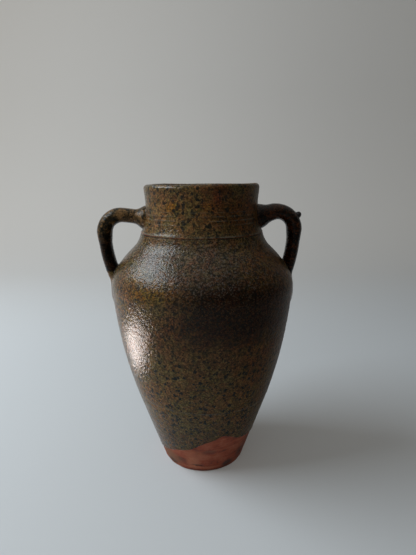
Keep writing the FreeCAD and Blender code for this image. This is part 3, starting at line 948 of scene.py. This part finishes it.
class Recipe(Wiring):
    """A material; sizes are in mm on the jar."""

    def __init__(self, name):
        self.material = bpy.data.materials.new(name)
        self.material.use_nodes = True
        super().__init__(self.material.node_tree)
        self.shader = self.nodes["Principled BSDF"]
        self.spot = self.add("TexCoord").outputs["Object"]
        self.across, self.back, self.height = self.add("SeparateXYZ", {"Vector": self.spot}).outputs

    def rise(self, low, high, start=0.0, end=1.0):
        """Smooth step from a start to an end between two heights on the jar."""
        return self.ease(self.height, low * MM, high * MM, start, end)

    def grains(self, size, detail=2, rough=0.5, spot=None):
        """Soft noise of a size, 0 to 1."""
        inputs = {"Vector": spot or self.spot, "Scale": 1 / (size * MM), "Detail": detail, "Roughness": rough}
        return self.add("TexNoise", inputs).outputs["Fac"]

    def stretched(self, factors):
        """The spot on the jar with its axes stretched."""
        return self.add("Mapping", {"Vector": self.spot, "Scale": factors}).outputs["Vector"]

    def ragged(self, size, reach, factors):
        """The spot on the jar, stretched, and pushed about by a reach so that forms there turn ragged."""
        inputs = {"Vector": self.spot, "Scale": 1 / (size * MM), "Detail": 2.0}
        push = self.add("TexNoise", inputs).outputs["Color"]
        inputs = {0: push, 1: (reach * MM,) * 3, 2: self.stretched(factors)}
        return self.add("VectorMath", inputs, operation="MULTIPLY_ADD").outputs[0]

    def blend(self, part, under, over, mode="MIX", label=""):
        """Two colours mixed, or one multiplied by the other."""
        inputs = {0: part, 6: solid_colour(under), 7: solid_colour(over)}
        return self.add("Mix", inputs, data_type="RGBA", blend_type=mode, label=label).outputs[2]

    def ramp(self, value, *stops):
        """Colours along a value."""
        node = self.add("ValToRGB", {"Fac": value})
        elements = node.color_ramp.elements
        while len(elements) < len(stops):
            elements.new(0.5)
        for element, (place, colour) in zip(elements, stops):
            element.position = place
            element.color = solid_colour(colour)
        return node.outputs["Color"]

    def patch(self, azimuth, height, wide, tall):
        """Ragged-edged patch on the jar's side, 1 in its middle and 0 outside."""
        middle = placed(clay_radius(height), height, math.radians(azimuth)) * MM
        inputs = {0: self.spot, 1: tuple(middle)}
        away = self.add("VectorMath", inputs, operation="SUBTRACT").outputs[0]
        scale = (1 / (wide * MM), 1 / (wide * MM), 1 / (tall * MM))
        away = self.add("VectorMath", {0: away, 1: scale}, operation="MULTIPLY").outputs[0]
        away = self.add("VectorMath", {0: away}, operation="LENGTH").outputs["Value"]
        torn = self.sum((away, 1.0), (self.grains(9, 4, 0.6), TEAR), (self.grains(22, 2), TEAR))
        return self.ease(torn, 1.1 + TEAR, 0.35 + TEAR)

    def cells(self, size, spot):
        """Two random values, 0 to 1, each the same all over a cell of a size."""
        inputs = {"Vector": spot, "Scale": 1 / (size * MM)}
        parts = self.add("SeparateColor", {"Color": self.add("TexVoronoi", inputs).outputs["Color"]}).outputs
        return parts["Red"], parts["Green"]

    def band(self, level, half, lean):
        """Thin line round the jar at a height, with its half width and how much it leans."""
        height = self.sum((self.across, lean), (self.height, 1.0))
        away = self.reckon(height, level * MM, "SUBTRACT")
        away = self.add("Math", {0: away}, operation="ABSOLUTE").outputs[0]
        return self.ease(away, half * MM, 0.2 * half * MM)

    def specks(self, size, amount, low, high, spot=None):
        """Scattered spots: width of their cells, share of cells that hold one, least and most radius."""
        cells = self.add("TexVoronoi", {"Vector": spot or self.spot, "Scale": 1 / (size * MM)})
        parts = self.add("SeparateColor", {"Color": cells.outputs["Color"]})
        radius = self.ease(parts.outputs["Red"], 1 - amount, 1.0, low / size, high / size)
        chosen = self.reckon(parts.outputs["Red"], 1 - amount, "GREATER_THAN")
        wobble = self.sum((cells.outputs["Distance"], 1.0), (self.grains(size * 0.3, 1), 0.16), (1.0, -0.08))
        near = self.reckon(radius, wobble, "SUBTRACT")
        return self.times(self.ease(near, 0.0, 0.06), chosen)

    def finish(self, colour, roughness, relief, depth):
        """Feed the shader, with a relief of a depth in mm."""
        self.feed(self.shader.inputs["Base Color"], colour)
        self.feed(self.shader.inputs["Roughness"], roughness)
        bump = self.add("Bump", {"Height": relief, "Distance": depth * MM, "Strength": 1.0})
        self.feed(self.shader.inputs["Normal"], bump.outputs["Normal"])
        return self.material


def solid_colour(colour):
    """Colour with full cover, or another node's output as it is."""
    if isinstance(colour, bpy.types.NodeSocket):
        return colour
    return tuple(colour)[:3] + (1.0,)


def strap_glaze(recipe, look, side, blotches, crisp, grainy):
    """Darker glaze of a handle's strap, and where it lies: 1 on the strap and 0 below its ragged end."""
    dark, light = (0.32, look.handle_dark), (0.62, look.handle_light)
    colour = recipe.ramp(blotches, dark, (0.47, look.handle_middle), light)
    colour = recipe.blend(crisp, colour, grainy, "MULTIPLY")
    # On the left handle the arm is lightened: partly its olive glaze, partly painted light on the arm that
    # faces the window.
    arm_tint_and_light = recipe.rise(238, 262) if side == "left" else 1.0
    colour = recipe.blend(arm_tint_and_light, colour, STRAP_TINTS_AND_LIGHT[side], "MULTIPLY", "strap")
    drips = recipe.grains(4, 3, 0.6, recipe.stretched((1.0, 1.0, 0.3)))
    torn = recipe.sum((recipe.height, 1.0), (drips, 12 * MM))
    start, end = STRAP_ENDS[side]
    return colour, recipe.ease(torn, start * MM, end * MM)


def jar_marks(recipe, colour, look, torn_spot, ragged_spot):
    """The jar's glaze with its lines, its sooty grains, and painted glints: pale grey grains on the shoulder
    that stand in for sparkles of reflected light, brown ones on the belly.
    """
    patchy = recipe.ease(recipe.grains(13, 4), 0.38, 0.6, 0.05, 1.0)
    for name, level, half, strong, pale, lean in LINES:
        cover = recipe.times(recipe.times(recipe.band(level, half, lean), patchy), strong)
        # Pale lines: thin glaze with painted highlight; dark lines: painted shade in the specks' colour.
        colour = recipe.blend(cover, colour, look.thin_glaze_and_highlight if pale else look.speck_and_shade, label=name)
    below_joint = recipe.rise(255, 243, 0.2, 1.0)
    soot = recipe.specks(1.9, 0.65, 0.45, 0.95, ragged_spot)
    upper = recipe.times(recipe.rise(150, 185, 0.0, 0.85), below_joint)
    colour = recipe.blend(recipe.times(soot, upper), colour, look.soot, label="soot")
    # Painted glints on the shoulder, pale grey; lower on the belly the same grains take the glaze's brown.
    glint = recipe.ease(recipe.cells(0.95, torn_spot)[0], 0.8, 0.92)
    upper = recipe.times(recipe.rise(150, 220, 0.5, 0.65), below_joint)
    pale = recipe.blend(recipe.rise(190, 220), look.brown, look.glint)
    return recipe.blend(recipe.times(glint, upper), colour, pale, label="glint")


def speckled_glaze(name, look, part):
    """Glossy glaze: olive, brown and rust blotches, crisp pale and dark grains, and blue-green specks."""
    recipe = Recipe(name)
    torn_spot = recipe.ragged(0.9, 1.1, (1.0, 1.0, 1.0))
    red, green = recipe.cells(1.25, torn_spot)
    coarse = recipe.grains(3.4, 2)
    wander = recipe.grains(28, 3)
    blotches = recipe.sum((recipe.grains(7, 3, 0.6), 1.0), (wander, 0.8), (green, 0.22), (1.0, -0.51))
    colour = recipe.ramp(blotches, (0.36, look.olive), (0.56, look.brown), (0.82, look.rust))
    pepper = recipe.sum((red, 0.75), (recipe.grains(0.8, 2, 0.6), 0.8), (coarse, 0.5), (1.0, -0.525))
    grainy = recipe.ramp(pepper, *PEPPER)
    crisp = recipe.times(recipe.rise(120, 170, 0.8, 1.0), recipe.rise(248, 262, 1.0, 0.8))
    colour = recipe.blend(crisp, colour, grainy, "MULTIPLY", "grains")
    for label, azimuth, level, wide, tall, strong, tint in TINTS:
        cover = recipe.times(recipe.patch(azimuth, level, wide, tall), strong)
        colour = recipe.blend(cover, colour, tint, "MULTIPLY", label)
    if part != "jar":
        strap, low_end = strap_glaze(recipe, look, part, blotches, crisp, grainy)
        colour = recipe.blend(low_end, strap, colour, label="strap's end")
    if part == "left":
        # Pale patch on the left leg's lower end: partly thin glaze, partly painted sheen.
        *place, strong = BARED_END_AND_SHEEN
        cover = recipe.times(recipe.patch(*place), strong)
        colour = recipe.blend(cover, colour, look.bared_and_sheen, label="bared end")
    crowd = recipe.reckon(recipe.rise(248, 258, 0.0, 0.6), recipe.rise(175, 125), "MAXIMUM")
    crowd = recipe.sum((crowd, 0.4), (1.0, 0.6))
    ragged_spot = recipe.ragged(1.4, 2.8, (1.0, 1.0, 0.9))
    for size, amount, least, most in SPECKS:
        cover = recipe.times(recipe.specks(size, amount, least, most, ragged_spot), crowd)
        colour = recipe.blend(cover, colour, look.speck_and_shade, label="specks")
    roughness = recipe.sum((coarse, 0.14), (wander, 0.06), (1.0, look.gloss - 0.1))
    shine = HANDLE_SHINE
    if part == "jar":
        colour = jar_marks(recipe, colour, look, torn_spot, ragged_spot)
        roughness = recipe.sum((roughness, 1.0), (recipe.ease(recipe.across, 0.01, 0.07), 0.28))
        shine = recipe.ease(recipe.across, *(place * MM for place in SHINE_FALL), *JAR_SHINE)
    relief = recipe.sum((recipe.grains(1.9, 1), 0.7), (recipe.grains(0.95, 1), 0.28))
    recipe.feed(recipe.shader.inputs["Specular IOR Level"], shine)
    recipe.feed(recipe.shader.inputs["Specular Tint"], GLOSS_TINT)
    return recipe.finish(colour, roughness, relief, RELIEF)


def lining_glaze(name, look):
    """Plainer, thinner glaze inside the jar."""
    recipe = Recipe(name)
    grain = recipe.grains(2.4, 3, 0.6)
    wander = recipe.grains(30, 3)
    value = recipe.sum((grain, 1.2), (wander, 1.0), (1.0, -0.6))
    colour = recipe.ramp(value, (0.25, look.speck_and_shade), (0.55, look.lining), (0.85, look.olive))
    specks = recipe.specks(5, 0.3, 0.5, 1.2)
    colour = recipe.blend(specks, colour, look.speck_and_shade)
    roughness = recipe.sum((recipe.grains(4, 2), 0.25), (1.0, look.gloss))
    return recipe.finish(colour, roughness, grain, 0.3)


def bead_glaze(name):
    """Near-black glass of the frozen drop."""
    recipe = Recipe(name)
    wander = recipe.grains(2.0, 2)
    colour = recipe.ramp(wander, (0.3, paint(10, 10, 14)), (0.7, paint(34, 30, 28)))
    roughness = recipe.sum((wander, 0.2), (1.0, 0.08))
    recipe.feed(recipe.shader.inputs["Specular IOR Level"], 0.2)
    return recipe.finish(colour, roughness, recipe.grains(0.8, 2), 0.1)


def fired_clay(name, look):
    """Bare terracotta: turned, pitted and stained, with smooth paler places."""
    recipe = Recipe(name)
    sand = recipe.grains(0.7, 3, 0.6)
    blot = recipe.grains(11, 4, 0.6)
    streak = recipe.grains(7, 3, 0.5, recipe.stretched((0.25, 0.25, 2.2)))
    value = recipe.sum((sand, 0.35), (blot, 0.9), (streak, 0.6), (1.0, -0.42))
    colour = recipe.ramp(value, (0.2, look.stain), (0.48, look.body), (0.85, look.pale))
    for tint, marks in ((look.pale, WIPED), (look.ashen, ASHEN), (look.stain, STAINS)):
        for azimuth, height, wide, tall, strong in marks:
            cover = recipe.patch(azimuth, height, wide, tall)
            colour = recipe.blend(recipe.times(cover, strong), colour, tint)
    pits = recipe.specks(5, 0.25, 0.3, 0.9)
    colour = recipe.blend(pits, colour, look.stain)
    roughness = recipe.sum((sand, 0.2), (1.0, look.roughness - 0.1))
    relief = recipe.sum((sand, 0.6), (streak, 0.4), (pits, -1.0))
    return recipe.finish(colour, roughness, relief, 0.35)


def joint_slip(name, look):
    """Thin clay brushed between the sections."""
    recipe = Recipe(name)
    brushed = recipe.grains(3, 3, 0.6, recipe.stretched((0.4, 0.4, 3.0)))
    colour = recipe.ramp(brushed, (0.3, look.stain), (0.7, look.body))
    return recipe.finish(colour, recipe.sum((brushed, 0.2), (1.0, look.roughness)), brushed, 0.2)


class JAR_OT_bare_clay(Operator):
    """Give the shown clay sections, slips, handles and pads their material."""
    bl_idname = "jar.bare_clay"
    bl_label = "Clay and slip"

    def execute(self, context):
        look = context.scene.jar_clay
        clay = fired_clay("fired_clay", look)
        slip = joint_slip("joint_slip", look)
        slips = ["base_joint_slip", "collar_joint_slip"]
        sections = ["body_section"]
        for side in HANDLES:
            sections += [f"{side}_handle", f"{side}_handle_neck_pad", f"{side}_handle_shoulder_pad"]
        for names, material in ((slips, slip), (sections, clay)):
            for name in names:
                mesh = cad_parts[name].data
                mesh.materials.clear()
                mesh.materials.append(material)
        return {"FINISHED"}


# Stage

def make_floor(look):
    """Floor that curves up into a wall behind the jar."""
    line = [(FLOOR_FRONT, 0), (FLOOR_BACK, 0)]
    for turn in np.linspace(0, math.pi / 2, 25)[1:]:
        line.append((FLOOR_BACK + FLOOR_CURVE * math.sin(turn), FLOOR_CURVE - FLOOR_CURVE * math.cos(turn)))
    line.append((FLOOR_BACK + FLOOR_CURVE, WALL_TOP))
    vertices = [(x, y, z) for y, z in line for x in (-FLOOR_HALF, FLOOR_HALF)]
    faces = [(n, n + 1, n + 3, n + 2) for n in range(0, len(vertices) - 2, 2)]
    mesh = bpy.data.meshes.new("floor")
    mesh.from_pydata(vertices, [], faces)
    mesh.shade_smooth()
    floor = bpy.data.objects.new("floor", mesh)
    bpy.context.scene.collection.objects.link(floor)
    recipe = Recipe("pale_floor")
    paper = recipe.grains(400, 2)
    colour = recipe.ramp(paper, (0.0, [value * 0.97 for value in look.floor]), (1.0, look.floor))
    colour = recipe.blend(recipe.ease(recipe.back, 0.3, 1.3), colour, WALL_SHADE, "MULTIPLY")
    recipe.finish(colour, 0.9, recipe.grains(3, 2), 0.02)
    wall = recipe.ease(recipe.back, 0.2, 1.4, *WALL_GLOW)
    left = recipe.ease(recipe.across, 1.2, -1.2, *SIDE_GLOW)
    glow = recipe.sum((wall, 1.0), (left, 1.0))
    recipe.feed(recipe.shader.inputs["Emission Color"], solid_colour(GLOW_COLOUR))
    recipe.feed(recipe.shader.inputs["Emission Strength"], recipe.times(glow, recipe.seen()))
    mesh.materials.append(recipe.material)


def make_lamp(name, power, size, colour, place, target):
    """Rectangular soft lamp turned to a target, its power in watts and the rest in metres."""
    lamp = bpy.data.lights.new(name, "AREA")
    lamp.shape = "RECTANGLE"
    lamp.energy = power
    lamp.size, lamp.size_y = size
    lamp.color = colour
    item = bpy.data.objects.new(name, lamp)
    item.visible_camera = False
    item.location = place
    item.rotation_euler = (Vector(target) - Vector(place)).to_track_quat("-Z", "Y").to_euler()
    bpy.context.scene.collection.objects.link(item)
    return lamp


def make_sky(look):
    """Even light, stronger from above, which the camera sees as a plain pale grey."""
    world = bpy.data.worlds.new("even_light")
    world.use_nodes = True
    wires = Wiring(world.node_tree)
    way = wires.add("TexCoord").outputs["Generated"]
    facing = [wires.add("VectorMath", {0: way, 1: toward}, operation="DOT_PRODUCT").outputs["Value"]
              for toward in (SKY_WAY, BRIGHT_SIDE)]
    even = wires.ease(facing[0], SKY_FROM, SKY_FULL, look.fill, look.sky)
    background = wires.ease(facing[1], BRIGHT_FROM, 1.0, *SEEN_WORLD)
    strength = wires.add("Mix", {0: wires.seen(), 2: even, 3: background}).outputs[0]
    shader = wires.nodes["Background"]
    wires.feed(shader.inputs["Strength"], strength)
    wires.feed(shader.inputs["Color"], SKY_COLOUR)
    return world


def make_camera(look):
    """Camera at the photograph's viewing angle."""
    scene = bpy.context.scene
    camera = bpy.data.cameras.new("camera")
    camera.lens = look.lens
    camera.sensor_width = 36
    camera.clip_start = 0.01
    item = bpy.data.objects.new("camera", camera)
    scene.collection.objects.link(item)
    place = Vector((look.camera_right, -look.camera_back, look.camera_height))
    item.matrix_world = (Matrix.Translation(place) @ Matrix.Rotation(math.pi / 2 - look.camera_pitch, 4, "X")
                         @ Matrix.Rotation(look.camera_roll, 4, "Z"))
    scene.camera = item


class JAR_OT_stage(Operator):
    """Make the floor, the lamps, the even light and the camera."""
    bl_idname = "jar.stage"
    bl_label = "Stage"

    def execute(self, context):
        scene = context.scene
        look = scene.jar_stage
        make_floor(look)
        make_lamp("window", look.window, *WINDOW)
        bounce = make_lamp("low_bounce", look.bounce, *LOW_BOUNCE)
        bounce.spread = BOUNCE_SPREAD
        scene.world = make_sky(look)
        make_camera(look)
        scene.view_settings.view_transform = "Standard"
        return {"FINISHED"}


class JAR_PT_sidebar(Panel):
    """Lists the jar's pieces and settings."""
    bl_idname = "JAR_PT_sidebar"
    bl_label = "Jar"
    bl_space_type = "VIEW_3D"
    bl_region_type = "UI"
    bl_category = "Jar"

    def draw(self, context):
        for operator in OPERATORS:
            self.layout.operator(operator.bl_idname)
        for name in SETTINGS:
            group = getattr(context.scene, name)
            box = self.layout.box()
            for setting in group.bl_rna.properties.keys():
                if setting not in ("rna_type", "name"):
                    box.prop(group, setting)


SETTINGS = {"jar_surface": JarSurface, "jar_glaze": JarGlaze, "jar_clay": JarClay, "jar_stage": JarStage}
OPERATORS = (
    JAR_OT_outer_coat, JAR_OT_collar, JAR_OT_foot, JAR_OT_lining, JAR_OT_handle_coats, JAR_OT_bead,
    JAR_OT_bare_clay, JAR_OT_stage,
)
CLASSES = tuple(SETTINGS.values()) + OPERATORS + (JAR_PT_sidebar,)


def register():
    """Add the settings and the operators to the session."""
    for item in CLASSES:
        bpy.utils.register_class(item)
    for name, group in SETTINGS.items():
        setattr(bpy.types.Scene, name, PointerProperty(type=group))


def unregister():
    """Take them out again."""
    for name in SETTINGS:
        delattr(bpy.types.Scene, name)
    for item in reversed(CLASSES):
        bpy.utils.unregister_class(item)


def main():
    """Make every piece and the stage."""
    register()
    for operator in OPERATORS:
        family, name = operator.bl_idname.split(".")
        getattr(getattr(bpy.ops, family), name)()


if __name__ == "__main__":
    main()
